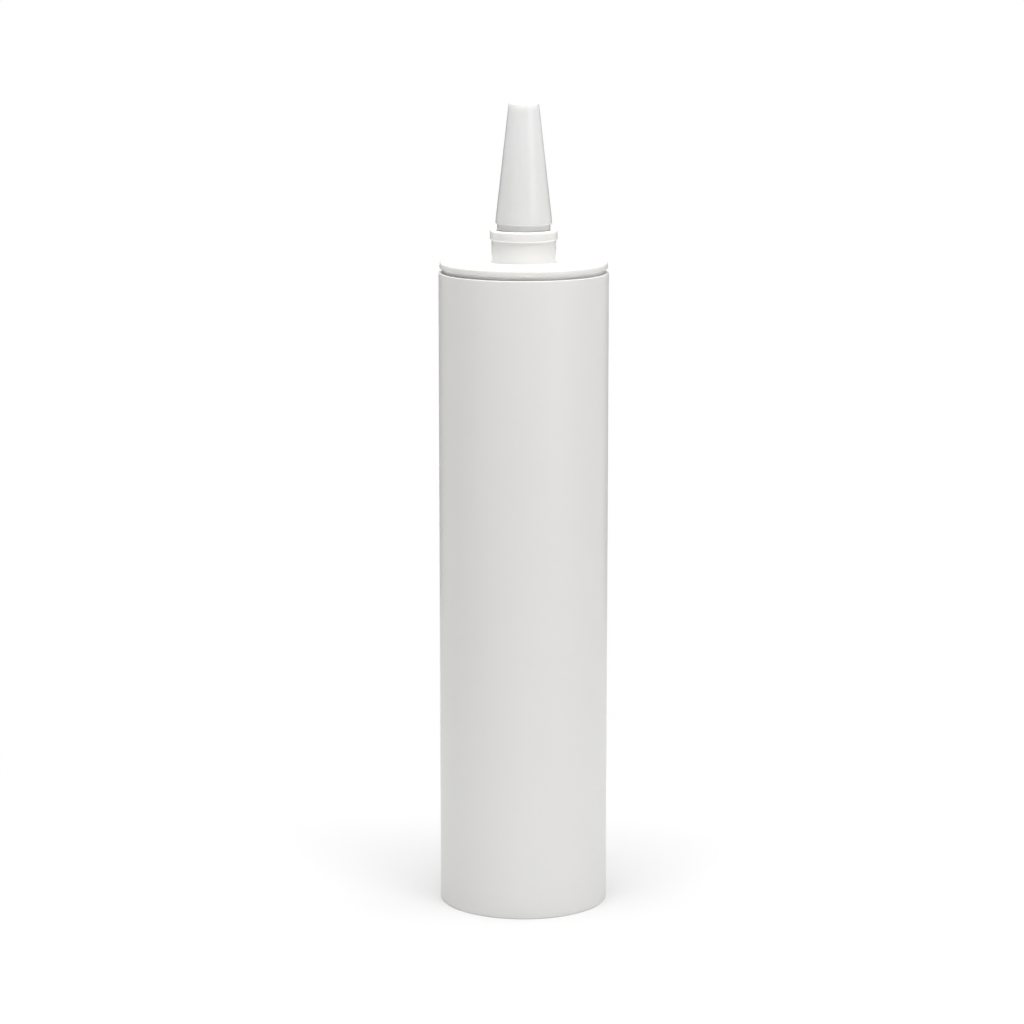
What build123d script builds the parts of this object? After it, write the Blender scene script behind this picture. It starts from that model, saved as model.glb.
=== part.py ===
"""Caulk tube with its screw-in nozzle, standing on its rear rim.

A straight plastic tube is closed at the front by a welded head. The head's collar takes a long
nozzle with a closed tip, and a foil seal lies under the collar's bore. A cup-shaped plunger closes
the rear, and the sealant fills the space between the plunger and the head.

Millimetres. The origin is the centre of the tube's rear rim, and +Z runs along the axis to the
nozzle's tip. Each piece is a section in the XZ plane, drawn as (radius, height) and turned about Z.
"""

import os

from build123d import *

# Tube
TUBE_DIAMETER = 50.0
TUBE_LENGTH = 189.6
TUBE_WALL = 1.5
REAR_EDGE_ROUND = 0.4
REAR_LEAD_IN = 0.5

# Head: a socket ring inside the tube, a rim above it, and a disc with the collar
SOCKET_DEPTH = 6.0
SOCKET_WALL = 1.5
SOCKET_CHAMFER = 0.5
FOOT_SEAT = 0.4
GROOVE_HEIGHT = 1.2
RIM_INSET = 0.3
RIM_HEIGHT = 2.2
RIM_WIDTH = 2.0
RIM_TOP_ROUND = 1.0
RIM_FOOT_ROUND = 0.3
DISC_RECESS = 0.5
DISC_THICKNESS = 2.0

# Collar on the head
COLLAR_BORE = 14.6
COLLAR_WALL = 2.15
COLLAR_HEIGHT = 9.5
COLLAR_FOOT_FILLET = 0.5
MOUTH_BEAD_STEP = 0.475
MOUTH_BEAD_HEIGHT = 2.8
MOUTH_BEAD_ROUND = 0.35

# Foil seal under the collar's bore
SEAL_OVERLAP = 3.5
SEAL_THICKNESS = 0.2

# Nozzle
PLUG_END_GAP = 2.5
PLUG_WALL = 1.3
SHANK_SEAT = 0.5
SHANK_HEIGHT = 1.9
LIP_STEP = 0.45
LIP_HEIGHT = 1.0
CONE_LENGTH = 34.1
TIP_DIAMETER = 8.8
TIP_WALL = 1.2
TIP_ROUND = 0.4

# Plunger
PLUNGER_RECESS = 7.5
SKIRT_HEIGHT = 16.0
SKIRT_RELIEF = 0.5
LIP_BAND = 1.6
CROWN_FLAT_DIAMETER = 30.0
CROWN_ROUND = 1.5
PLUNGER_WALL = 1.4
RIB_COUNT = 6
RIB_THICKNESS = 1.2
RIB_REACH = 4.5
RIB_HEIGHT = 5.0

# Clearances
PLUG_CLEARANCE = 0.1
LIP_CLEARANCE = 0.1
SOCKET_CLEARANCE = 0.6
CROWN_CLEARANCE = 1.0
FILL_GAP = 0.05
PLUNGER_GAP = 0.2
STOP_GAP = 0.3

# Radii that follow from the driving sizes
tube_radius = TUBE_DIAMETER / 2
bore_radius = tube_radius - TUBE_WALL
socket_inner_radius = bore_radius - SOCKET_WALL
groove_radius = bore_radius + FOOT_SEAT
rim_radius = tube_radius - RIM_INSET
floor_radius = rim_radius - RIM_WIDTH
collar_bore_radius = COLLAR_BORE / 2
collar_radius = collar_bore_radius + COLLAR_WALL
bead_radius = collar_radius + MOUTH_BEAD_STEP
plug_radius = collar_bore_radius - PLUG_CLEARANCE
passage_radius = plug_radius - PLUG_WALL
shank_radius = collar_bore_radius + SHANK_SEAT
lip_radius = shank_radius + LIP_STEP
tip_radius = TIP_DIAMETER / 2
plunger_radius = bore_radius - LIP_CLEARANCE
skirt_radius = plunger_radius - SKIRT_RELIEF
crown_radius = socket_inner_radius - SOCKET_CLEARANCE
crown_flat_radius = CROWN_FLAT_DIAMETER / 2
cup_radius = skirt_radius - PLUNGER_WALL
rib_radius = cup_radius - RIB_REACH

# Heights that follow from the driving sizes
socket_bottom = TUBE_LENGTH - SOCKET_DEPTH
rim_bottom = TUBE_LENGTH + GROOVE_HEIGHT
rim_top = rim_bottom + RIM_HEIGHT
floor_height = rim_top - DISC_RECESS
disc_underside = floor_height - DISC_THICKNESS
collar_mouth = floor_height + COLLAR_HEIGHT
bead_bottom = collar_mouth - MOUTH_BEAD_HEIGHT
seal_bottom = disc_underside - SEAL_THICKNESS
plug_bottom = disc_underside + PLUG_END_GAP
lip_bottom = collar_mouth + SHANK_HEIGHT
cone_bottom = lip_bottom + LIP_HEIGHT
tip_height = cone_bottom + CONE_LENGTH
skirt_top = PLUNGER_RECESS + SKIRT_HEIGHT
crown_height = seal_bottom - CROWN_CLEARANCE - (socket_bottom - STOP_GAP)
crown_top = skirt_top + crown_height
crown_slope = crown_height / (crown_radius - crown_flat_radius)
rib_top = skirt_top - PLUNGER_WALL / 2 + (crown_radius - PLUNGER_WALL / 2 - rib_radius) * crown_slope
fill_top = seal_bottom - FILL_GAP

# How far the plunger runs before its front lip meets the head's socket ring
plunger_travel = socket_bottom - STOP_GAP - skirt_top

os.makedirs("parts", exist_ok=True)


def corner(section, radius, height):
    """The section's vertex at that radius and height."""
    return section.vertices().sort_by_distance((radius, height))[0]


# Tube: one straight wall, eased outside and led in at the rear
with BuildPart() as tube:
    with BuildSketch(Plane.XZ) as tube_section:
        with BuildLine():
            Polyline(
                (bore_radius, 0),
                (tube_radius, 0),
                (tube_radius, TUBE_LENGTH),
                (bore_radius, TUBE_LENGTH),
                close=True,
            )
        make_face()
        fillet(corner(tube_section, tube_radius, 0), REAR_EDGE_ROUND)
        chamfer(corner(tube_section, bore_radius, 0), REAR_LEAD_IN)
    revolve(axis=Axis.Z)
tube.part.label = "tube"
export_step(tube.part, "parts/tube.step")

# Head: socket ring in the tube, grooved rim on its end, recessed disc and hollow collar
with BuildPart() as head:
    with BuildSketch(Plane.XZ) as head_section:
        with BuildLine():
            Polyline(
                (collar_bore_radius, disc_underside),
                (socket_inner_radius, disc_underside),
                (socket_inner_radius, socket_bottom),
                (bore_radius, socket_bottom),
                (bore_radius, TUBE_LENGTH),
                (groove_radius, TUBE_LENGTH),
                (groove_radius, rim_bottom),
                (rim_radius, rim_bottom),
                (rim_radius, rim_top),
                (floor_radius, rim_top),
                (floor_radius, floor_height),
                (collar_radius, floor_height),
                (collar_radius, bead_bottom),
                (bead_radius, bead_bottom),
                (bead_radius, collar_mouth),
                (collar_bore_radius, collar_mouth),
                close=True,
            )
        make_face()
        fillet(corner(head_section, rim_radius, rim_top), RIM_TOP_ROUND)
        fillet(corner(head_section, rim_radius, rim_bottom), RIM_FOOT_ROUND)
        fillet(corner(head_section, floor_radius, rim_top), DISC_RECESS / 2)
        fillet(corner(head_section, collar_radius, floor_height), COLLAR_FOOT_FILLET)
        fillet(corner(head_section, bead_radius, bead_bottom), MOUTH_BEAD_ROUND)
        fillet(corner(head_section, bead_radius, collar_mouth), MOUTH_BEAD_ROUND)
        chamfer(corner(head_section, bore_radius, socket_bottom), SOCKET_CHAMFER)
    revolve(axis=Axis.Z)
head.part.label = "head"
export_step(head.part, "parts/head.step")

# Foil seal: a thin disc bonded to the head's underside, across the collar's bore
with BuildPart() as foil_seal:
    with BuildSketch(Plane.XY.offset(seal_bottom)):
        Circle(collar_bore_radius + SEAL_OVERLAP)
    extrude(amount=SEAL_THICKNESS)
foil_seal.part.label = "foil_seal"
export_step(foil_seal.part, "parts/foil_seal.step")

# Nozzle: a plug in the collar's bore, a shank seated on the mouth, and a hollow cone with a
# closed tip
with BuildPart() as nozzle:
    with BuildSketch(Plane.XZ) as nozzle_section:
        with BuildLine():
            Polyline(
                (passage_radius, plug_bottom),
                (plug_radius, plug_bottom),
                (plug_radius, collar_mouth),
                (shank_radius, collar_mouth),
                (shank_radius, lip_bottom),
                (lip_radius, lip_bottom),
                (lip_radius, cone_bottom),
                (tip_radius, tip_height),
                (0, tip_height),
                (0, tip_height - TIP_WALL),
                (tip_radius - TIP_WALL, tip_height - TIP_WALL),
                (passage_radius, cone_bottom),
                close=True,
            )
        make_face()
        fillet(corner(nozzle_section, tip_radius, tip_height), TIP_ROUND)
    revolve(axis=Axis.Z)
nozzle.part.label = "nozzle"
export_step(nozzle.part, "parts/nozzle.step")

# Plunger: a cup open to the rear, with a lip at each end of its skirt, a crown that enters the
# head's socket ring, and ribs between crown and skirt
with BuildPart() as plunger:
    with BuildSketch(Plane.XZ) as plunger_section:
        with BuildLine():
            Polyline(
                (0, PLUNGER_RECESS),
                (plunger_radius, PLUNGER_RECESS),
                (plunger_radius, PLUNGER_RECESS + LIP_BAND),
                (skirt_radius, PLUNGER_RECESS + LIP_BAND),
                (skirt_radius, skirt_top - LIP_BAND),
                (plunger_radius, skirt_top - LIP_BAND),
                (plunger_radius, skirt_top),
                (crown_radius, skirt_top),
                (crown_flat_radius, crown_top),
                (0, crown_top),
                close=True,
            )
        make_face()
        fillet(corner(plunger_section, crown_flat_radius, crown_top), CROWN_ROUND)
    revolve(axis=Axis.Z)
    with BuildSketch(Plane.XZ) as cup_section:
        with BuildLine():
            Polyline(
                (0, PLUNGER_RECESS),
                (cup_radius, PLUNGER_RECESS),
                (cup_radius, skirt_top - PLUNGER_WALL),
                (crown_radius - PLUNGER_WALL, skirt_top - PLUNGER_WALL),
                (crown_flat_radius - PLUNGER_WALL, crown_top - PLUNGER_WALL),
                (0, crown_top - PLUNGER_WALL),
                close=True,
            )
        make_face()
    revolve(axis=Axis.Z, mode=Mode.SUBTRACT)
    rib_planes = [Plane.XZ.rotated((0, 0, turn * 360 / RIB_COUNT)) for turn in range(RIB_COUNT)]
    with BuildSketch(*rib_planes):
        with BuildLine():
            Polyline(
                (cup_radius + PLUNGER_WALL / 2, skirt_top - PLUNGER_WALL - RIB_HEIGHT),
                (rib_radius, rib_top),
                (crown_radius - PLUNGER_WALL / 2, skirt_top - PLUNGER_WALL / 2),
                (cup_radius + PLUNGER_WALL / 2, skirt_top - PLUNGER_WALL / 2),
                close=True,
            )
        make_face()
    extrude(amount=RIB_THICKNESS / 2, both=True)
plunger.part.label = "plunger"
export_step(plunger.part, "parts/plunger.step")

# Sealant: fills the tube from the plunger's crown to the foil seal, and the socket ring inside
with BuildPart() as sealant:
    with BuildSketch(Plane.XZ):
        with BuildLine():
            Polyline(
                (0, crown_top + PLUNGER_GAP),
                (crown_flat_radius, crown_top + PLUNGER_GAP),
                (crown_radius + PLUNGER_GAP, skirt_top + PLUNGER_GAP),
                (bore_radius - FILL_GAP, skirt_top + PLUNGER_GAP),
                (bore_radius - FILL_GAP, socket_bottom - FILL_GAP),
                (socket_inner_radius - FILL_GAP, socket_bottom - FILL_GAP),
                (socket_inner_radius - FILL_GAP, fill_top),
                (0, fill_top),
                close=True,
            )
        make_face()
    revolve(axis=Axis.Z)
sealant.part.label = "sealant"
export_step(sealant.part, "parts/sealant.step")

print(f"plunger travel {plunger_travel:.2f} mm, fill {sealant.part.volume / 1000:.1f} ml")
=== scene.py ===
"""Caulk tube: its visual pieces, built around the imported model, and a plain studio around them.

Metres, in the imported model's own frame: the tube stands on the floor at z = 0 and +Z runs along its
axis to the nozzle's tip. Each piece starts as an outline of (radius, height) points, which has its
corners rounded and is then turned about Z.
"""

import math

import bmesh
import bpy
from bpy.props import FloatProperty, FloatVectorProperty, IntProperty, PointerProperty
from mathutils import Matrix, Vector


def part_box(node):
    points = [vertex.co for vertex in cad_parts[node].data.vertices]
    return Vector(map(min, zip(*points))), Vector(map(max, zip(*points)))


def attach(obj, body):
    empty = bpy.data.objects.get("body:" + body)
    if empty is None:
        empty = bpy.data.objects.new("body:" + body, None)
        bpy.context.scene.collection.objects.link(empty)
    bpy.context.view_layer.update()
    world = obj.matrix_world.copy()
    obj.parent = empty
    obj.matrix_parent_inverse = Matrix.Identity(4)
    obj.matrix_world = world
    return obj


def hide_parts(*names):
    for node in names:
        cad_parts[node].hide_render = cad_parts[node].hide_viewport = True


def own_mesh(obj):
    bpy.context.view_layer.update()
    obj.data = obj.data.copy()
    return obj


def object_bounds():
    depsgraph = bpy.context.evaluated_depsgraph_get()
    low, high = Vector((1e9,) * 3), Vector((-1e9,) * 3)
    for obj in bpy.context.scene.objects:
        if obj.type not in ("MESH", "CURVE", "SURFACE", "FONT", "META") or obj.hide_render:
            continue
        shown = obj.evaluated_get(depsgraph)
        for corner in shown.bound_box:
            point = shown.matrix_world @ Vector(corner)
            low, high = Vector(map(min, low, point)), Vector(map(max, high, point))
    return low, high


bl_info = {
    "name": "Caulk Tube",
    "version": (1, 0, 0),
    "blender": (4, 5, 0),
    "location": "3D View > Sidebar > Caulk Tube",
    "description": "Builds a caulk tube with its nozzle, plunger, seal and sealant, and a studio for it",
    "category": "Object",
}

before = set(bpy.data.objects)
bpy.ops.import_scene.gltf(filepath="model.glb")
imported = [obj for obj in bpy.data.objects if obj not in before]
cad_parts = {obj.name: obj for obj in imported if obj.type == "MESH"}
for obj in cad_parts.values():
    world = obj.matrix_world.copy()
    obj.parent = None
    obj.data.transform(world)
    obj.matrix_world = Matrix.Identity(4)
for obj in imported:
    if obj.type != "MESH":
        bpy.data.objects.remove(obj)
CAD_LOW, CAD_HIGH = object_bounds()
TUBE_LOW, TUBE_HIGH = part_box("tube")
HEAD_LOW, HEAD_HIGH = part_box("head")
NOZZLE_LOW, NOZZLE_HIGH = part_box("nozzle")
SEAL_LOW, SEAL_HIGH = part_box("foil_seal")
PLUNGER_LOW, PLUNGER_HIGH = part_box("plunger")
FILL_LOW, FILL_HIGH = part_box("sealant")

Z_AXIS = (0, 0, 1)
WELD = 1e-6
BURIED_SHARE = 0.1
SMOOTH_ANGLE = math.radians(32)


# Sizes and colours


class TubeSettings(bpy.types.PropertyGroup):
    wall: FloatProperty(
        name="Wall", description="Thickness of the tube's wall", default=0.0015, unit="LENGTH"
    )
    rear_round: FloatProperty(
        name="Rear round", description="Radius on the outer rear edge", default=0.0004, unit="LENGTH"
    )
    rear_lead_in: FloatProperty(
        name="Rear lead-in",
        description="Chamfer inside the rear, where the plunger was loaded",
        default=0.0005,
        unit="LENGTH",
    )
    front_round: FloatProperty(
        name="Front round",
        description="Radius on the outer edge under the groove",
        default=0.00018,
        unit="LENGTH",
    )
    color: FloatVectorProperty(
        name="Colour",
        description="Colour of the tube's plastic",
        default=(0.80, 0.792, 0.776),
        subtype="COLOR",
        min=0.0,
        max=1.0,
    )


class HeadSettings(bpy.types.PropertyGroup):
    socket_wall: FloatProperty(
        name="Socket wall",
        description="Thickness of the ring inside the tube",
        default=0.0015,
        unit="LENGTH",
    )
    foot_seat: FloatProperty(
        name="Foot seat",
        description="How far the groove's floor stands out on the tube's end",
        default=0.0004,
        unit="LENGTH",
    )
    groove_height: FloatProperty(
        name="Groove", description="Height of the groove under the rim", default=0.0012, unit="LENGTH"
    )
    rim_height: FloatProperty(
        name="Rim height", description="Height of the rim", default=0.0022, unit="LENGTH"
    )
    rim_width: FloatProperty(
        name="Rim width", description="Width of the raised ring on top", default=0.002, unit="LENGTH"
    )
    rim_round: FloatProperty(
        name="Rim round", description="Radius on the rim's upper edge", default=0.001, unit="LENGTH"
    )
    disc_recess: FloatProperty(
        name="Disc recess", description="Depth of the disc under the rim", default=0.0005, unit="LENGTH"
    )
    collar_radius: FloatProperty(
        name="Collar", description="Outside radius of the collar", default=0.00945, unit="LENGTH"
    )
    foot_fillet: FloatProperty(
        name="Collar fillet", description="Fillet at the collar's foot", default=0.0005, unit="LENGTH"
    )
    bead_step: FloatProperty(
        name="Bead step",
        description="How far the mouth bead stands out from the collar",
        default=0.000475,
        unit="LENGTH",
    )
    bead_height: FloatProperty(
        name="Bead height", description="Height of the mouth bead", default=0.0028, unit="LENGTH"
    )
    bead_round: FloatProperty(
        name="Bead round", description="Radius on the bead's edges", default=0.00035, unit="LENGTH"
    )
    small_round: FloatProperty(
        name="Small round", description="Radius on the head's other edges", default=0.0002, unit="LENGTH"
    )
    color: FloatVectorProperty(
        name="Colour",
        description="Colour of the head's plastic",
        default=(0.82, 0.813, 0.798),
        subtype="COLOR",
        min=0.0,
        max=1.0,
    )


class ThreadSettings(bpy.types.PropertyGroup):
    pitch: FloatProperty(
        name="Pitch", description="Rise of the nozzle's thread in a turn", default=0.003, unit="LENGTH"
    )
    core_radius: FloatProperty(
        name="Core", description="Radius at the root of the plug's thread", default=0.0072, unit="LENGTH"
    )
    depth: FloatProperty(
        name="Depth", description="Height of a ridge over its root", default=0.0006, unit="LENGTH"
    )
    root_width: FloatProperty(
        name="Root width", description="Width of a ridge at its root", default=0.0014, unit="LENGTH"
    )
    crest_width: FloatProperty(
        name="Crest width", description="Width of a ridge at its crest", default=0.0006, unit="LENGTH"
    )
    clearance: FloatProperty(
        name="Clearance",
        description="Gap between one thread's crest and the other's root",
        default=0.00015,
        unit="LENGTH",
    )
    run_out: FloatProperty(
        name="Run-out",
        description="Share of a turn over which a ridge rises at each end",
        default=0.15,
        min=0.0,
        max=0.5,
    )


class NozzleSettings(bpy.types.PropertyGroup):
    plug_wall: FloatProperty(
        name="Plug wall", description="Thickness of the threaded plug", default=0.0013, unit="LENGTH"
    )
    shank_height: FloatProperty(
        name="Shank", description="Height of the shank over the collar", default=0.0019, unit="LENGTH"
    )
    lip_step: FloatProperty(
        name="Lip step",
        description="How far the cone's lip stands out from the shank",
        default=0.00045,
        unit="LENGTH",
    )
    lip_height: FloatProperty(
        name="Lip height", description="Height of the lip under the cone", default=0.001, unit="LENGTH"
    )
    tip_radius: FloatProperty(
        name="Tip", description="Outside radius of the closed tip", default=0.0044, unit="LENGTH"
    )
    tip_wall: FloatProperty(
        name="Tip wall", description="Thickness at the closed tip", default=0.0012, unit="LENGTH"
    )
    tip_round: FloatProperty(
        name="Tip round", description="Radius on the tip's edge", default=0.0004, unit="LENGTH"
    )
    gate_radius: FloatProperty(
        name="Gate mark",
        description="Radius of the moulding mark sunk in the tip",
        default=0.0011,
        unit="LENGTH",
    )
    gate_depth: FloatProperty(
        name="Gate depth", description="Depth of the moulding mark", default=0.00025, unit="LENGTH"
    )
    color: FloatVectorProperty(
        name="Colour",
        description="Colour of the nozzle's plastic",
        default=(0.80, 0.797, 0.782),
        subtype="COLOR",
        min=0.0,
        max=1.0,
    )


class PlungerSettings(bpy.types.PropertyGroup):
    skirt_height: FloatProperty(
        name="Skirt", description="Height of the plunger's skirt", default=0.016, unit="LENGTH"
    )
    skirt_relief: FloatProperty(
        name="Skirt relief",
        description="How far the skirt stands back from its lips",
        default=0.0005,
        unit="LENGTH",
    )
    lip_band: FloatProperty(
        name="Lip band", description="Height of each sealing lip", default=0.0016, unit="LENGTH"
    )
    lip_round: FloatProperty(
        name="Lip round", description="Radius on the lips' edges", default=0.0003, unit="LENGTH"
    )
    wall: FloatProperty(
        name="Wall", description="Thickness of the plunger's wall", default=0.0014, unit="LENGTH"
    )
    crown_radius: FloatProperty(
        name="Crown foot", description="Radius at the foot of the crown", default=0.0214, unit="LENGTH"
    )
    crown_flat_radius: FloatProperty(
        name="Crown flat", description="Radius of the crown's flat top", default=0.015, unit="LENGTH"
    )
    crown_round: FloatProperty(
        name="Crown round", description="Radius between slope and flat", default=0.0015, unit="LENGTH"
    )
    rib_count: IntProperty(
        name="Ribs", description="Number of ribs between crown and skirt", default=6, min=1, max=24
    )
    rib_thickness: FloatProperty(
        name="Rib thickness", description="Thickness of each rib", default=0.0012, unit="LENGTH"
    )
    rib_reach: FloatProperty(
        name="Rib reach", description="How far a rib reaches inwards", default=0.0045, unit="LENGTH"
    )
    rib_height: FloatProperty(
        name="Rib height", description="How far a rib runs down the skirt", default=0.005, unit="LENGTH"
    )
    color: FloatVectorProperty(
        name="Colour",
        description="Colour of the plunger's plastic",
        default=(0.78, 0.77, 0.74),
        subtype="COLOR",
        min=0.0,
        max=1.0,
    )


class FillSettings(bpy.types.PropertyGroup):
    plunger_gap: FloatProperty(
        name="Plunger gap",
        description="Space between the sealant and the plunger's crown",
        default=0.0002,
        unit="LENGTH",
    )
    left_at_stop: FloatProperty(
        name="Left at the stop",
        description="Share of the sealant's height left when the plunger is home",
        default=0.005,
        min=0.001,
        max=1.0,
    )
    foil_color: FloatVectorProperty(
        name="Foil", description="Colour of the seal", default=(0.80, 0.80, 0.81), subtype="COLOR"
    )
    sealant_color: FloatVectorProperty(
        name="Sealant", description="Colour of the sealant", default=(0.85, 0.84, 0.82), subtype="COLOR"
    )


class StageSettings(bpy.types.PropertyGroup):
    camera_place: FloatVectorProperty(
        name="Camera",
        description="Where the camera stands",
        default=(-0.003431, -0.96714, 0.29421),
        subtype="XYZ",
        unit="LENGTH",
        precision=5,
    )
    camera_pitch: FloatProperty(
        name="Camera pitch",
        description="How far the camera looks down",
        default=math.radians(10.3218),
        subtype="ANGLE",
    )
    lens: FloatProperty(
        name="Lens", description="Focal length, in millimetres", default=116.3, min=1.0
    )
    key_power: FloatProperty(name="Key", description="Power of the right softbox, in watts", default=2.25)
    fill_power: FloatProperty(name="Fill", description="Power of the left softbox, in watts", default=0.25)
    top_power: FloatProperty(name="Top", description="Power of the overhead softbox, in watts", default=28.5)
    ambient: FloatProperty(
        name="Ambient", description="Strength of the light from all round", default=0.02
    )


class CaulkTubeSettings(bpy.types.PropertyGroup):
    segments: IntProperty(
        name="Segments", description="Steps in a full turn", default=192, min=16, max=512
    )
    tube: PointerProperty(type=TubeSettings)
    head: PointerProperty(type=HeadSettings)
    thread: PointerProperty(type=ThreadSettings)
    nozzle: PointerProperty(type=NozzleSettings)
    plunger: PointerProperty(type=PlungerSettings)
    fill: PointerProperty(type=FillSettings)
    stage: PointerProperty(type=StageSettings)


# Mesh tools


def outline(bm, points, closed=True):
    """Vertices at the (radius, height) points, joined in a line, which runs back if closed."""
    verts = [bm.verts.new((radius, 0, height)) for radius, height in points]
    followers = verts[1:] + verts[:1] if closed else verts[1:]
    for vert, follower in zip(verts, followers):
        bm.edges.new((vert, follower))
    return verts


def round_corner(bm, vert, radius, segments=5):
    """Cuts the outline's corner back by radius and bends it through that many pieces."""
    bmesh.ops.bevel(
        bm,
        geom=[vert],
        offset=radius,
        offset_type="OFFSET",
        segments=segments,
        profile=0.5,
        affect="VERTICES",
        material=-1,
    )


def turn(bm, segments):
    """Turns the whole outline once about Z, and welds and orients what it makes."""
    bmesh.ops.spin(
        bm,
        geom=bm.verts[:] + bm.edges[:],
        cent=(0, 0, 0),
        axis=Z_AXIS,
        dvec=(0, 0, 0),
        angle=2 * math.pi,
        steps=segments,
        use_merge=True,
        use_normal_flip=False,
        use_duplicate=False,
    )
    bmesh.ops.remove_doubles(bm, verts=bm.verts, dist=WELD)
    bmesh.ops.recalc_face_normals(bm, faces=bm.faces)


def lathe(points, rounds, segments, closed=True):
    """A solid turned from an outline. rounds maps a point's place in it to its radius."""
    bm = bmesh.new()
    verts = outline(bm, points, closed)
    for place, radius in rounds.items():
        round_corner(bm, verts[place], radius)
    turn(bm, segments)
    return bm


def mesh_object(name, bm):
    """An object at the origin that holds the mesh, smooth but for its real edges."""
    for face in bm.faces:
        face.smooth = True
    mesh = bpy.data.meshes.new(name)
    bm.to_mesh(mesh)
    bm.free()
    mesh.set_sharp_from_angle(angle=SMOOTH_ANGLE)
    piece = bpy.data.objects.new(name, mesh)
    bpy.context.scene.collection.objects.link(piece)
    return piece


def combine(piece, tool, operation):
    """Applies a boolean of the tool to the piece, and removes the tool."""
    change = piece.modifiers.new("combine", "BOOLEAN")
    change.object = tool
    change.operation = operation
    change.solver = "MANIFOLD"
    graph = bpy.context.evaluated_depsgraph_get()
    mesh = bpy.data.meshes.new_from_object(piece.evaluated_get(graph))
    if not mesh.polygons:
        raise RuntimeError(f"combining {tool.name} with {piece.name} left nothing")
    piece.modifiers.clear()
    spent = piece.data
    piece.data = mesh
    bpy.data.meshes.remove(spent)
    mesh.name = piece.name
    bpy.data.objects.remove(tool)


def ridge(name, thread, root, crest, bottom, top, start_angle, segments):
    """A closed helical ridge from under radius root to radius crest, between two heights."""
    turns = (top - bottom - thread.root_width) / thread.pitch
    steps = round(turns * segments)
    sunk = root + math.copysign(thread.clearance, root - crest)
    middle = bottom + thread.root_width / 2
    bm = bmesh.new()
    section = outline(
        bm,
        [
            (sunk, middle - thread.root_width / 2),
            (crest, middle - thread.crest_width / 2),
            (crest, middle + thread.crest_width / 2),
            (sunk, middle + thread.root_width / 2),
        ],
    )
    end = bm.faces.new(section)
    bmesh.ops.rotate(
        bm, verts=bm.verts, cent=(0, 0, 0), matrix=Matrix.Rotation(start_angle, 3, "Z")
    )
    bmesh.ops.spin(
        bm,
        geom=[end],
        cent=(0, 0, 0),
        axis=Z_AXIS,
        dvec=(0, 0, thread.pitch * turns / steps),
        angle=2 * math.pi * turns,
        steps=steps,
        use_merge=False,
        use_normal_flip=False,
        use_duplicate=False,
    )
    lower_ridge_ends(bm, thread, sunk, crest, bottom, top)
    bmesh.ops.recalc_face_normals(bm, faces=bm.faces)
    return mesh_object(name, bm)


def lower_ridge_ends(bm, thread, sunk, crest, bottom, top):
    """Eases the crest down under the root over the first and last part of a turn."""
    run = thread.run_out * thread.pitch + thread.root_width / 2
    for vert in bm.verts:
        radius = math.hypot(vert.co.x, vert.co.y)
        if abs(radius - sunk) < abs(radius - crest):
            continue
        share = min(1.0, min(vert.co.z - bottom, top - vert.co.z) / run)
        eased = max(BURIED_SHARE, share * share * (3 - 2 * share))
        wanted = sunk + (crest - sunk) * eased
        vert.co.x *= wanted / radius
        vert.co.y *= wanted / radius


# Shader tools


def shader_node(tree, kind, place, **values):
    """A node of that kind at that place, with its named inputs set."""
    made = tree.nodes.new(kind)
    made.location = place
    for key, value in values.items():
        made.inputs[key.replace("_", " ").title()].default_value = value
    return made


def math_node(tree, operation, place, first=None, second=None):
    """A math node, whose inputs are each a number or the socket that feeds it."""
    made = tree.nodes.new("ShaderNodeMath")
    made.operation = operation
    made.location = place
    for socket, given in zip(made.inputs, (first, second)):
        if isinstance(given, (int, float)):
            socket.default_value = given
        elif given is not None:
            tree.links.new(given, socket)
    return made.outputs["Value"]


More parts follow.
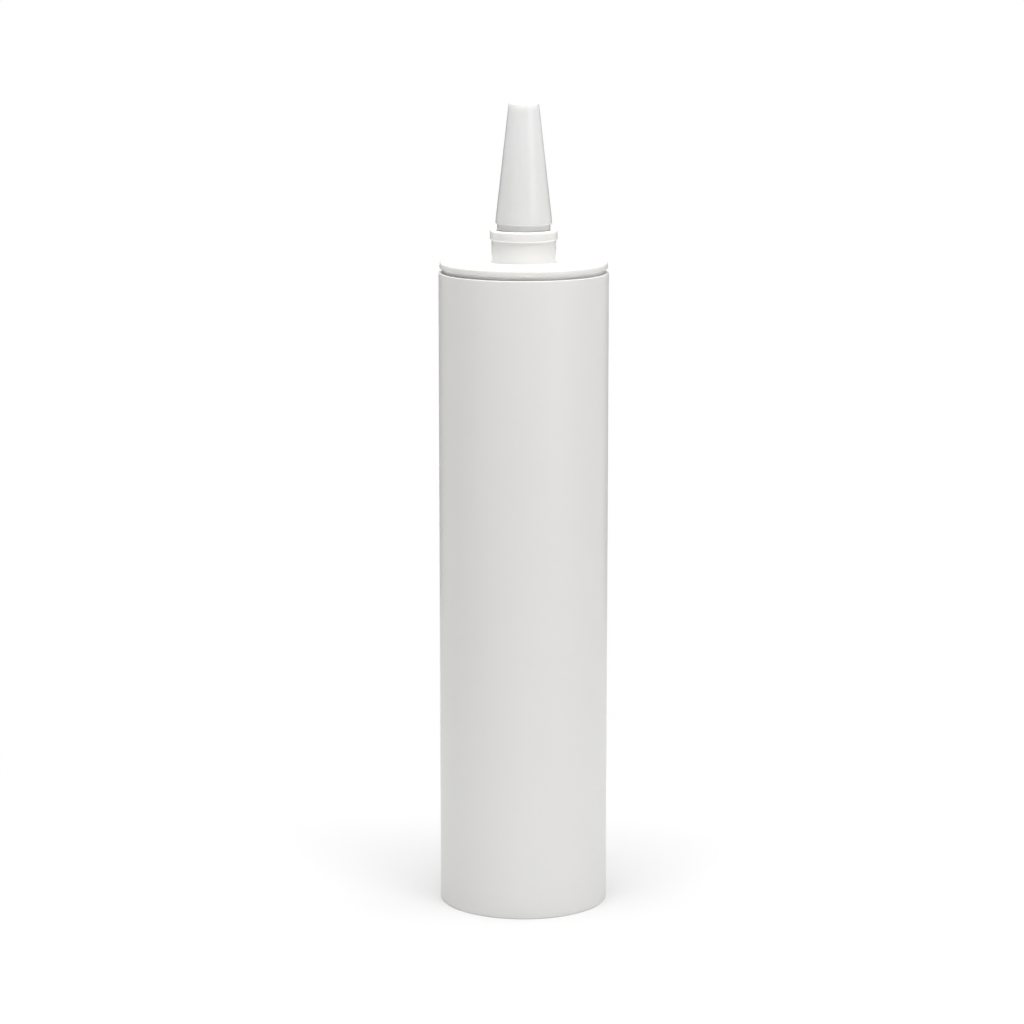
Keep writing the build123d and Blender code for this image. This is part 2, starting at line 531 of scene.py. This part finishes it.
def moulded_plastic_group():
    """The shared surface of all the plastic pieces: fine grain, draw lines, faint clouding and rubs.

    It gives a colour, a roughness and a height that change over the surface, from Object
    coordinates. Draw lines run along Z.
    """
    name = "moulded plastic"
    if name in bpy.data.node_groups:
        return bpy.data.node_groups[name]
    tree = bpy.data.node_groups.new(name, "ShaderNodeTree")
    sockets = tree.interface
    sockets.new_socket("Color", in_out="INPUT", socket_type="NodeSocketColor")
    for label, default in (
        ("Clouding", 0.02),
        ("Roughness", 0.4),
        ("Roughness Spread", 0.06),
        ("Grain Height", 0.3),
        ("Line Height", 0.2),
        ("Rubs", 0.1),
    ):
        socket = sockets.new_socket(label, in_out="INPUT", socket_type="NodeSocketFloat")
        socket.default_value = default
    sockets.new_socket("Color", in_out="OUTPUT", socket_type="NodeSocketColor")
    sockets.new_socket("Roughness", in_out="OUTPUT", socket_type="NodeSocketFloat")
    sockets.new_socket("Height", in_out="OUTPUT", socket_type="NodeSocketFloat")

    given = tree.nodes.new("NodeGroupInput")
    given.location = (-1100, 0)
    result = tree.nodes.new("NodeGroupOutput")
    result.location = (900, 0)
    coordinates = tree.nodes.new("ShaderNodeTexCoord")
    coordinates.location = (-1100, -300)
    link = tree.links.new

    clouds = shader_node(tree, "ShaderNodeTexNoise", (-700, 300), scale=55.0, detail=3.0, roughness=0.55)
    link(coordinates.outputs["Object"], clouds.inputs["Vector"])
    grain = shader_node(tree, "ShaderNodeTexNoise", (-700, 0), scale=2600.0, detail=2.0, roughness=0.5)
    link(coordinates.outputs["Object"], grain.inputs["Vector"])

    along = tree.nodes.new("ShaderNodeMapping")
    along.location = (-900, -300)
    along.inputs["Scale"].default_value = (1.0, 1.0, 0.012)
    link(coordinates.outputs["Object"], along.inputs["Vector"])
    lines = shader_node(tree, "ShaderNodeTexNoise", (-700, -300), scale=1100.0, detail=3.0, roughness=0.6)
    link(along.outputs["Vector"], lines.inputs["Vector"])

    across = tree.nodes.new("ShaderNodeMapping")
    across.location = (-900, -600)
    across.inputs["Scale"].default_value = (1.0, 1.0, 0.35)
    across.inputs["Rotation"].default_value = (0.3, 0.2, 0.0)
    link(coordinates.outputs["Object"], across.inputs["Vector"])
    rubs = shader_node(tree, "ShaderNodeTexNoise", (-700, -600), scale=160.0, detail=6.0, roughness=0.7)
    link(across.outputs["Vector"], rubs.inputs["Vector"])
    rub_mask = shader_node(tree, "ShaderNodeMapRange", (-480, -600), from_min=0.6, from_max=0.78)
    link(rubs.outputs["Fac"], rub_mask.inputs["Value"])
    rub = math_node(tree, "MULTIPLY", (-260, -600), rub_mask.outputs["Result"], given.outputs["Rubs"])

    centred = math_node(tree, "SUBTRACT", (-480, 300), clouds.outputs["Fac"], 0.5)
    shade = math_node(tree, "MULTIPLY", (-260, 300), centred, given.outputs["Clouding"])
    bright = math_node(tree, "ADD", (-40, 300), shade, 1.0)
    tinted = tree.nodes.new("ShaderNodeVectorMath")
    tinted.operation = "SCALE"
    tinted.location = (180, 300)
    link(given.outputs["Color"], tinted.inputs[0])
    link(bright, tinted.inputs["Scale"])
    link(tinted.outputs["Vector"], result.inputs["Color"])

    spread = math_node(tree, "MULTIPLY", (-260, 100), centred, given.outputs["Roughness Spread"])
    rough = math_node(tree, "ADD", (-40, 100), spread, given.outputs["Roughness"])
    rubbed = math_node(tree, "ADD", (180, 100), rough, rub)
    link(rubbed, result.inputs["Roughness"])

    fine = math_node(tree, "MULTIPLY", (-260, -100), grain.outputs["Fac"], given.outputs["Grain Height"])
    drawn = math_node(tree, "MULTIPLY", (-260, -300), lines.outputs["Fac"], given.outputs["Line Height"])
    height = math_node(tree, "ADD", (-40, -200), fine, drawn)
    scraped = math_node(tree, "SUBTRACT", (180, -200), height, rub)
    link(scraped, result.inputs["Height"])
    return tree


def plastic(name, color, surface, scatter, relief=0.00002):
    """A white plastic.

    surface holds the shared group's values, scatter the weight and depth of the light that spreads
    inside, and relief the height of the grain.
    """
    material = bpy.data.materials.new(name)
    material.use_nodes = True
    tree = material.node_tree
    shader = tree.nodes["Principled BSDF"]
    group = tree.nodes.new("ShaderNodeGroup")
    group.node_tree = moulded_plastic_group()
    group.location = (-700, 200)
    group.inputs["Color"].default_value = (*color, 1.0)
    for label, value in surface.items():
        group.inputs[label].default_value = value
    bump = tree.nodes.new("ShaderNodeBump")
    bump.location = (-300, -200)
    bump.inputs["Distance"].default_value = relief
    tree.links.new(group.outputs["Color"], shader.inputs["Base Color"])
    tree.links.new(group.outputs["Roughness"], shader.inputs["Roughness"])
    tree.links.new(group.outputs["Height"], bump.inputs["Height"])
    tree.links.new(bump.outputs["Normal"], shader.inputs["Normal"])
    shader.inputs["IOR"].default_value = 1.52
    shader.inputs["Subsurface Weight"].default_value = scatter[0]
    shader.inputs["Subsurface Scale"].default_value = scatter[1]
    shader.inputs["Subsurface Radius"].default_value = (1.0, 0.92, 0.8)
    material.diffuse_color = (*color, 1.0)
    return material


def foil_material(color):
    """Bright rolled foil with a fine grain and soft creases."""
    material = bpy.data.materials.new("rolled foil")
    material.use_nodes = True
    tree = material.node_tree
    shader = tree.nodes["Principled BSDF"]
    coordinates = tree.nodes.new("ShaderNodeTexCoord")
    coordinates.location = (-1000, 0)
    rolling = tree.nodes.new("ShaderNodeMapping")
    rolling.location = (-800, 0)
    rolling.inputs["Scale"].default_value = (0.05, 1.0, 1.0)
    tree.links.new(coordinates.outputs["Object"], rolling.inputs["Vector"])
    grain = shader_node(tree, "ShaderNodeTexNoise", (-600, 0), scale=5000.0, detail=2.0)
    tree.links.new(rolling.outputs["Vector"], grain.inputs["Vector"])
    creases = shader_node(tree, "ShaderNodeTexVoronoi", (-600, -300), scale=300.0)
    tree.links.new(coordinates.outputs["Object"], creases.inputs["Vector"])
    rough = shader_node(tree, "ShaderNodeMapRange", (-350, 150), to_min=0.22, to_max=0.42)
    tree.links.new(grain.outputs["Fac"], rough.inputs["Value"])
    bump = tree.nodes.new("ShaderNodeBump")
    bump.location = (-300, -200)
    bump.inputs["Distance"].default_value = 0.00006
    tree.links.new(creases.outputs["Distance"], bump.inputs["Height"])
    tree.links.new(rough.outputs["Result"], shader.inputs["Roughness"])
    tree.links.new(bump.outputs["Normal"], shader.inputs["Normal"])
    shader.inputs["Base Color"].default_value = (*color, 1.0)
    shader.inputs["Metallic"].default_value = 1.0
    return material


def finish_piece(piece, material, body, node):
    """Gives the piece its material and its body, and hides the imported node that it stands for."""
    piece.data.materials.clear()
    piece.data.materials.append(material)
    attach(piece, body)
    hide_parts(node)
    return piece


# Pieces


class CAULK_OT_tube(bpy.types.Operator):
    """Build the straight tube, eased at its rear and under the head's groove"""

    bl_idname = "caulk.tube"
    bl_label = "Tube"

    def execute(self, context):
        settings = context.scene.caulk_tube
        sizes = settings.tube
        outside = TUBE_HIGH.x
        bore = outside - sizes.wall
        bm = lathe(
            [
                (bore, TUBE_LOW.z),
                (outside, TUBE_LOW.z),
                (outside, TUBE_HIGH.z),
                (bore, TUBE_HIGH.z),
            ],
            {1: sizes.rear_round, 2: sizes.front_round},
            settings.segments,
        )
        piece = mesh_object("tube_wall", bm)
        surface = {
            "Clouding": 0.012,
            "Roughness": 0.4,
            "Roughness Spread": 0.08,
            "Grain Height": 0.12,
            "Line Height": 0.25,
            "Rubs": 0.08,
        }
        material = plastic("satin tube plastic", sizes.color, surface, (0.25, 0.003))
        finish_piece(piece, material, "cartridge", "tube")
        return {"FINISHED"}


class CAULK_OT_head(bpy.types.Operator):
    """Build the moulded head, with its rim, disc and threaded collar"""

    bl_idname = "caulk.head"
    bl_label = "Head"

    def execute(self, context):
        settings = context.scene.caulk_tube
        sizes = settings.head
        thread = settings.thread
        tube_bore = TUBE_HIGH.x - settings.tube.wall
        socket = tube_bore - sizes.socket_wall
        groove = tube_bore + sizes.foot_seat
        rim = HEAD_HIGH.x
        ring = rim - sizes.rim_width
        bead = sizes.collar_radius + sizes.bead_step
        bore = thread.core_radius + thread.depth + thread.clearance
        rim_bottom = TUBE_HIGH.z + sizes.groove_height
        rim_top = rim_bottom + sizes.rim_height
        disc = rim_top - sizes.disc_recess
        mouth = HEAD_HIGH.z
        bead_bottom = mouth - sizes.bead_height
        bm = lathe(
            [
                (bore, SEAL_HIGH.z),
                (socket, SEAL_HIGH.z),
                (socket, HEAD_LOW.z),
                (tube_bore, HEAD_LOW.z),
                (tube_bore, TUBE_HIGH.z),
                (groove, TUBE_HIGH.z),
                (groove, rim_bottom),
                (rim, rim_bottom),
                (rim, rim_top),
                (ring, rim_top),
                (ring, disc),
                (sizes.collar_radius, disc),
                (sizes.collar_radius, bead_bottom),
                (bead, bead_bottom),
                (bead, mouth),
                (bore, mouth),
            ],
            {
                3: sizes.small_round,
                6: sizes.small_round,
                7: sizes.small_round * 1.5,
                8: sizes.rim_round,
                9: sizes.small_round,
                10: sizes.small_round,
                11: sizes.foot_fillet,
                12: sizes.small_round * 0.8,
                13: sizes.bead_round,
                14: sizes.bead_round,
                15: sizes.small_round,
            },
            settings.segments,
        )
        piece = mesh_object("head_cap", bm)
        crest = thread.core_radius + thread.clearance
        worm = ridge(
            "collar_thread",
            thread,
            bore,
            crest,
            NOZZLE_LOW.z,
            mouth - sizes.small_round,
            math.pi,
            settings.segments,
        )
        combine(piece, worm, "UNION")
        surface = {
            "Clouding": 0.015,
            "Roughness": 0.36,
            "Roughness Spread": 0.08,
            "Grain Height": 0.2,
            "Line Height": 0.0,
            "Rubs": 0.06,
        }
        material = plastic("satin head plastic", sizes.color, surface, (0.3, 0.003))
        finish_piece(piece, material, "cartridge", "head")
        return {"FINISHED"}


class CAULK_OT_nozzle(bpy.types.Operator):
    """Build the hollow cone nozzle, with its closed tip and threaded plug"""

    bl_idname = "caulk.nozzle"
    bl_label = "Nozzle"

    def execute(self, context):
        settings = context.scene.caulk_tube
        sizes = settings.nozzle
        thread = settings.thread
        core = thread.core_radius
        passage = core - sizes.plug_wall
        shank = NOZZLE_HIGH.x - sizes.lip_step
        lip = NOZZLE_HIGH.x
        mouth = HEAD_HIGH.z
        lip_bottom = mouth + sizes.shank_height
        cone_bottom = lip_bottom + sizes.lip_height
        tip = NOZZLE_HIGH.z
        inner_tip = tip - sizes.tip_wall
        bm = lathe(
            [
                (0, inner_tip),
                (sizes.tip_radius - sizes.tip_wall, inner_tip),
                (passage, cone_bottom),
                (passage, NOZZLE_LOW.z),
                (core, NOZZLE_LOW.z),
                (core, mouth),
                (shank, mouth),
                (shank, lip_bottom),
                (lip, lip_bottom),
                (lip, cone_bottom),
                (sizes.tip_radius, tip),
                (sizes.gate_radius, tip),
                (sizes.gate_radius * 0.8, tip - sizes.gate_depth),
                (0, tip - sizes.gate_depth),
            ],
            {
                1: sizes.tip_round,
                3: sizes.tip_round,
                4: sizes.tip_round,
                6: sizes.tip_round / 4,
                7: sizes.tip_round / 2,
                8: sizes.tip_round / 2,
                10: sizes.tip_round,
                11: sizes.gate_depth / 3,
            },
            settings.segments,
            closed=False,
        )
        piece = mesh_object("nozzle_cone", bm)
        worm = ridge(
            "plug_thread",
            thread,
            core,
            core + thread.depth,
            NOZZLE_LOW.z + sizes.tip_round,
            mouth - sizes.tip_round / 2,
            0.0,
            settings.segments,
        )
        combine(piece, worm, "UNION")
        surface = {
            "Clouding": 0.01,
            "Roughness": 0.2,
            "Roughness Spread": 0.06,
            "Grain Height": 0.06,
            "Line Height": 0.05,
            "Rubs": 0.05,
        }
        material = plastic("glossy nozzle plastic", sizes.color, surface, (0.5, 0.004))
        finish_piece(piece, material, "nozzle", "nozzle")
        return {"FINISHED"}


class CAULK_OT_seal(bpy.types.Operator):
    """Build the foil seal under the collar's bore"""

    bl_idname = "caulk.seal"
    bl_label = "Foil seal"

    def execute(self, context):
        settings = context.scene.caulk_tube
        edge = (SEAL_HIGH.z - SEAL_LOW.z) / 3
        bm = lathe(
            [
                (0, SEAL_LOW.z),
                (SEAL_HIGH.x, SEAL_LOW.z),
                (SEAL_HIGH.x, SEAL_HIGH.z),
                (0, SEAL_HIGH.z),
            ],
            {1: edge, 2: edge},
            settings.segments // 2,
            closed=False,
        )
        piece = mesh_object("seal_membrane", bm)
        material = foil_material(settings.fill.foil_color)
        finish_piece(piece, material, "cartridge", "foil_seal")
        return {"FINISHED"}


class CAULK_OT_plunger(bpy.types.Operator):
    """Build the plunger, a ribbed cup with two sealing lips"""

    bl_idname = "caulk.plunger"
    bl_label = "Plunger"

    def execute(self, context):
        settings = context.scene.caulk_tube
        sizes = settings.plunger
        rear = PLUNGER_LOW.z
        crown_top = PLUNGER_HIGH.z
        lip = PLUNGER_HIGH.x
        skirt = lip - sizes.skirt_relief
        cup = skirt - sizes.wall
        skirt_top = rear + sizes.skirt_height
        bm = lathe(
            [
                (0, crown_top - sizes.wall),
                (sizes.crown_flat_radius - sizes.wall, crown_top - sizes.wall),
                (sizes.crown_radius - sizes.wall, skirt_top - sizes.wall),
                (cup, skirt_top - sizes.wall),
                (cup, rear),
                (lip, rear),
                (lip, rear + sizes.lip_band),
                (skirt, rear + sizes.lip_band),
                (skirt, skirt_top - sizes.lip_band),
                (lip, skirt_top - sizes.lip_band),
                (lip, skirt_top),
                (sizes.crown_radius, skirt_top),
                (sizes.crown_flat_radius, crown_top),
                (0, crown_top),
            ],
            {
                1: sizes.crown_round / 2,
                2: sizes.lip_round,
                3: sizes.lip_round,
                4: sizes.lip_round,
                5: sizes.lip_round,
                6: sizes.lip_round,
                9: sizes.lip_round,
                10: sizes.lip_round,
                11: sizes.lip_round,
                12: sizes.crown_round,
            },
            settings.segments,
            closed=False,
        )
        piece = mesh_object("plunger_cup", bm)
        combine(piece, self.ribs(sizes, cup, skirt_top, crown_top), "UNION")
        surface = {
            "Clouding": 0.03,
            "Roughness": 0.38,
            "Roughness Spread": 0.1,
            "Grain Height": 0.25,
            "Line Height": 0.0,
            "Rubs": 0.08,
        }
        material = plastic("plunger plastic", sizes.color, surface, (0.4, 0.003))
        finish_piece(piece, material, "plunger", "plunger")
        return {"FINISHED"}

    def ribs(self, sizes, cup, skirt_top, crown_top):
        """The ribs between the crown's inside and the skirt's, set evenly about Z."""
        inner = cup - sizes.rib_reach
        half_wall = sizes.wall / 2
        slope = (crown_top - skirt_top) / (sizes.crown_radius - sizes.crown_flat_radius)
        inner_top = skirt_top - half_wall + (sizes.crown_radius - half_wall - inner) * slope
        bm = bmesh.new()
        section = outline(
            bm,
            [
                (cup + half_wall, skirt_top - sizes.wall - sizes.rib_height),
                (inner, inner_top),
                (sizes.crown_radius - half_wall, skirt_top - half_wall),
                (cup + half_wall, skirt_top - half_wall),
            ],
        )
        web = bm.faces.new(section)
        bmesh.ops.translate(bm, verts=bm.verts, vec=(0, -sizes.rib_thickness / 2, 0))
        grown = bmesh.ops.extrude_face_region(bm, geom=[web], use_keep_orig=True)
        moved = [item for item in grown["geom"] if isinstance(item, bmesh.types.BMVert)]
        bmesh.ops.translate(bm, verts=moved, vec=(0, sizes.rib_thickness, 0))
        first_rib = bm.faces[:]
        for count in range(1, sizes.rib_count):
            bmesh.ops.spin(
                bm,
                geom=first_rib,
                cent=(0, 0, 0),
                axis=Z_AXIS,
                dvec=(0, 0, 0),
                angle=2 * math.pi * count / sizes.rib_count,
                steps=1,
                use_merge=False,
                use_normal_flip=False,
                use_duplicate=True,
            )
        bmesh.ops.recalc_face_normals(bm, faces=bm.faces)
        return mesh_object("plunger_ribs", bm)


class CAULK_OT_sealant(bpy.types.Operator):
    """Build the sealant, which fills the tube from the plunger's crown to the seal"""

    bl_idname = "caulk.sealant"
    bl_label = "Sealant"

    def execute(self, context):
        settings = context.scene.caulk_tube
        plunger = settings.plunger
        gap = settings.fill.plunger_gap
        skirt_top = PLUNGER_LOW.z + plunger.skirt_height
        socket = TUBE_HIGH.x - settings.tube.wall - settings.head.socket_wall
        side_gap = TUBE_HIGH.x - settings.tube.wall - FILL_HIGH.x
        bm = lathe(
            [
                (0, PLUNGER_HIGH.z + gap),
                (plunger.crown_flat_radius, PLUNGER_HIGH.z + gap),
                (plunger.crown_radius + gap, skirt_top + gap),
                (FILL_HIGH.x, FILL_LOW.z),
                (FILL_HIGH.x, HEAD_LOW.z - side_gap),
                (socket - side_gap, HEAD_LOW.z - side_gap),
                (socket - side_gap, FILL_HIGH.z),
                (0, FILL_HIGH.z),
            ],
            {1: plunger.crown_round / 2, 3: plunger.lip_round, 5: plunger.lip_round, 6: plunger.lip_round},
            settings.segments,
            closed=False,
        )
        piece = mesh_object("sealant_fill", bm)
        surface = {
            "Clouding": 0.03,
            "Roughness": 0.22,
            "Roughness Spread": 0.1,
            "Grain Height": 0.3,
            "Line Height": 0.0,
            "Rubs": 0.0,
        }
        material = plastic("wet sealant", settings.fill.sealant_color, surface, (0.6, 0.002), relief=0.0001)
        finish_piece(piece, material, "cartridge", "sealant")
        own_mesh(piece)
        return {"FINISHED"}


# Studio


FLOOR_HALF = 3.0
NEAR_FLOOR = (0.1, 0.25)
FLAG_WIDTH = 0.26
FLAG_HEIGHT = 1.2
FLAG_DISTANCE = 0.42
FLAG_AZIMUTH = math.radians(22)
SOFTBOX_DISTANCE = 1.1
SOFTBOX_HEIGHT = 0.42
KEY_AZIMUTH = math.radians(44.5)
KEY_SIZE = (0.6, 0.9)
FILL_AZIMUTH = math.radians(-53.5)
FILL_SIZE = (0.34, 0.9)
TOP_DISTANCE = 0.1
TOP_HEIGHT = 1.3
TOP_SIZE = (0.8, 0.8)


def seen_directly(tree, place):
    """1 for camera, glossy and transmission rays, and 0 for the rays that light things."""
    path = tree.nodes.new("ShaderNodeLightPath")
    path.location = place
    first = math_node(
        tree,
        "MAXIMUM",
        (place[0] + 200, place[1]),
        path.outputs["Is Camera Ray"],
        path.outputs["Is Glossy Ray"],
    )
    return math_node(
        tree, "MAXIMUM", (place[0] + 400, place[1]), first, path.outputs["Is Transmission Ray"]
    )


def floor_material():
    """A floor that is plain white far off, and lit near the tube, so that it keeps the tube's shadow."""
    material = bpy.data.materials.new("studio floor")
    material.use_nodes = True
    tree = material.node_tree
    link = tree.links.new
    tree.nodes.remove(tree.nodes["Principled BSDF"])
    output = tree.nodes["Material Output"]
    coordinates = tree.nodes.new("ShaderNodeTexCoord")
    distance = tree.nodes.new("ShaderNodeVectorMath")
    distance.operation = "LENGTH"
    link(coordinates.outputs["Object"], distance.inputs[0])
    far = shader_node(
        tree, "ShaderNodeMapRange", (-400, 300), from_min=NEAR_FLOOR[0], from_max=NEAR_FLOOR[1]
    )
    link(distance.outputs["Value"], far.inputs["Value"])
    lit = shader_node(tree, "ShaderNodeBsdfDiffuse", (-400, 0), color=(0.5, 0.5, 0.5, 1.0))
    lift = shader_node(tree, "ShaderNodeEmission", (-400, -150), strength=0.26)
    near_floor = tree.nodes.new("ShaderNodeAddShader")
    link(lit.outputs["BSDF"], near_floor.inputs[0])
    link(lift.outputs["Emission"], near_floor.inputs[1])
    white = shader_node(tree, "ShaderNodeEmission", (-400, -300), strength=1.0)
    shown = tree.nodes.new("ShaderNodeMixShader")
    link(far.outputs["Result"], shown.inputs["Fac"])
    link(near_floor.outputs["Shader"], shown.inputs[1])
    link(white.outputs["Emission"], shown.inputs[2])
    bounce = shader_node(tree, "ShaderNodeBsdfDiffuse", (-400, -450), color=(0.85, 0.85, 0.85, 1.0))
    choice = tree.nodes.new("ShaderNodeMixShader")
    link(seen_directly(tree, (-900, -600)), choice.inputs["Fac"])
    link(bounce.outputs["BSDF"], choice.inputs[1])
    link(shown.outputs["Shader"], choice.inputs[2])
    link(choice.outputs["Shader"], output.inputs["Surface"])
    return material


def black_material():
    """Matt black for the flags."""
    material = bpy.data.materials.new("black flag")
    material.use_nodes = True
    shader = material.node_tree.nodes["Principled BSDF"]
    shader.inputs["Base Color"].default_value = (0.01, 0.01, 0.01, 1.0)
    shader.inputs["Roughness"].default_value = 1.0
    return material


def make_world(ambient):
    """White to look at, and a soft even light for everything else."""
    world = bpy.data.worlds.new("studio")
    bpy.context.scene.world = world
    world.use_nodes = True
    tree = world.node_tree
    light = tree.nodes["Background"]
    light.inputs["Color"].default_value = (1.0, 1.0, 1.0, 1.0)
    light.inputs["Strength"].default_value = ambient
    white = shader_node(tree, "ShaderNodeBackground", (0, -200), color=(1.0, 1.0, 1.0, 1.0), strength=1.0)
    choice = tree.nodes.new("ShaderNodeMixShader")
    tree.links.new(seen_directly(tree, (-600, 300)), choice.inputs["Fac"])
    tree.links.new(light.outputs["Background"], choice.inputs[1])
    tree.links.new(white.outputs["Background"], choice.inputs[2])
    tree.links.new(choice.outputs["Shader"], tree.nodes["World Output"].inputs["Surface"])


def panel(name, width, height, azimuth, distance, base, material):
    """An upright sheet facing the tube, at an azimuth measured from +Y towards +X."""
    bm = bmesh.new()
    bmesh.ops.create_grid(bm, x_segments=1, y_segments=1, size=0.5)
    bmesh.ops.scale(bm, vec=(width, height, 1.0), verts=bm.verts)
    bmesh.ops.rotate(bm, verts=bm.verts, cent=(0, 0, 0), matrix=Matrix.Rotation(math.pi / 2, 3, "X"))
    bmesh.ops.translate(bm, verts=bm.verts, vec=(0, distance, base + height / 2))
    bmesh.ops.rotate(bm, verts=bm.verts, cent=(0, 0, 0), matrix=Matrix.Rotation(-azimuth, 3, "Z"))
    sheet = mesh_object(name, bm)
    sheet.data.materials.append(material)
    return sheet


def softbox(name, azimuth, distance, height, size, power, target):
    """A rectangular lamp at an azimuth measured from the camera's side towards +X, facing target."""
    data = bpy.data.lights.new(name, "AREA")
    data.shape = "RECTANGLE"
    data.size, data.size_y = size
    data.energy = power
    lamp = bpy.data.objects.new(name, data)
    place = Vector((distance * math.sin(azimuth), -distance * math.cos(azimuth), height))
    lamp.location = place
    lamp.rotation_euler = (Vector(target) - place).to_track_quat("-Z", "Y").to_euler()
    bpy.context.scene.collection.objects.link(lamp)
    return lamp


class CAULK_OT_stage(bpy.types.Operator):
    """Build the floor, the lamps, the flags, the world and the camera"""

    bl_idname = "caulk.stage"
    bl_label = "Studio"

    def execute(self, context):
        scene = context.scene
        settings = scene.caulk_tube.stage
        middle = (0, 0, CAD_HIGH.z * 0.5)

        bm = bmesh.new()
        bmesh.ops.create_grid(bm, x_segments=1, y_segments=1, size=FLOOR_HALF)
        floor = mesh_object("floor", bm)
        floor.data.materials.append(floor_material())

        black = black_material()
        for name, side in (("flag_left", -1), ("flag_right", 1)):
            flag = panel(name, FLAG_WIDTH, FLAG_HEIGHT, side * FLAG_AZIMUTH, FLAG_DISTANCE, 0.0, black)
            flag.visible_camera = False
            flag.visible_diffuse = False
            flag.visible_shadow = False
            flag.visible_transmission = False

        for name, azimuth, distance, height, size, power in (
            ("key_softbox", KEY_AZIMUTH, SOFTBOX_DISTANCE, SOFTBOX_HEIGHT, KEY_SIZE, settings.key_power),
            ("fill_softbox", FILL_AZIMUTH, SOFTBOX_DISTANCE, SOFTBOX_HEIGHT, FILL_SIZE, settings.fill_power),
            ("top_softbox", 0.0, TOP_DISTANCE, TOP_HEIGHT, TOP_SIZE, settings.top_power),
        ):
            softbox(name, azimuth, distance, height, size, power, middle)
        make_world(settings.ambient)

        data = bpy.data.cameras.new("camera")
        data.sensor_width = 36.0
        data.lens = settings.lens
        data.clip_start = 0.01
        data.clip_end = 50.0
        camera = bpy.data.objects.new("camera", data)
        camera.location = settings.camera_place
        camera.rotation_euler = (math.pi / 2 - settings.camera_pitch, 0.0, 0.0)
        scene.collection.objects.link(camera)
        scene.camera = camera
        scene.view_settings.view_transform = "Standard"
        return {"FINISHED"}


class CAULK_PT_panel(bpy.types.Panel):
    """List the pieces and the studio, each with its sizes and colours"""

    bl_idname = "CAULK_PT_panel"
    bl_label = "Caulk Tube"
    bl_space_type = "VIEW_3D"
    bl_region_type = "UI"
    bl_category = "Caulk Tube"

    def draw(self, context):
        settings = context.scene.caulk_tube
        self.layout.prop(settings, "segments")
        for operator, groups in (
            ("caulk.tube", (settings.tube,)),
            ("caulk.head", (settings.head,)),
            ("caulk.nozzle", (settings.nozzle, settings.thread)),
            ("caulk.plunger", (settings.plunger,)),
            ("caulk.seal", ()),
            ("caulk.sealant", (settings.fill,)),
            ("caulk.stage", (settings.stage,)),
        ):
            box = self.layout.box()
            box.operator(operator)
            for group in groups:
                for key in group.bl_rna.properties.keys():
                    if key not in ("rna_type", "name"):
                        box.prop(group, key)


CLASSES = (
    TubeSettings,
    HeadSettings,
    ThreadSettings,
    NozzleSettings,
    PlungerSettings,
    FillSettings,
    StageSettings,
    CaulkTubeSettings,
    CAULK_OT_tube,
    CAULK_OT_head,
    CAULK_OT_nozzle,
    CAULK_OT_seal,
    CAULK_OT_plunger,
    CAULK_OT_sealant,
    CAULK_OT_stage,
    CAULK_PT_panel,
)


def register():
    for each in CLASSES:
        bpy.utils.register_class(each)
    bpy.types.Scene.caulk_tube = PointerProperty(type=CaulkTubeSettings)


def unregister():
    del bpy.types.Scene.caulk_tube
    for each in reversed(CLASSES):
        bpy.utils.unregister_class(each)


def main():
    register()
    bpy.ops.caulk.stage()
    bpy.ops.caulk.tube()
    bpy.ops.caulk.head()
    bpy.ops.caulk.seal()
    bpy.ops.caulk.nozzle()
    bpy.ops.caulk.plunger()
    bpy.ops.caulk.sealant()


if __name__ == "__main__":
    main()
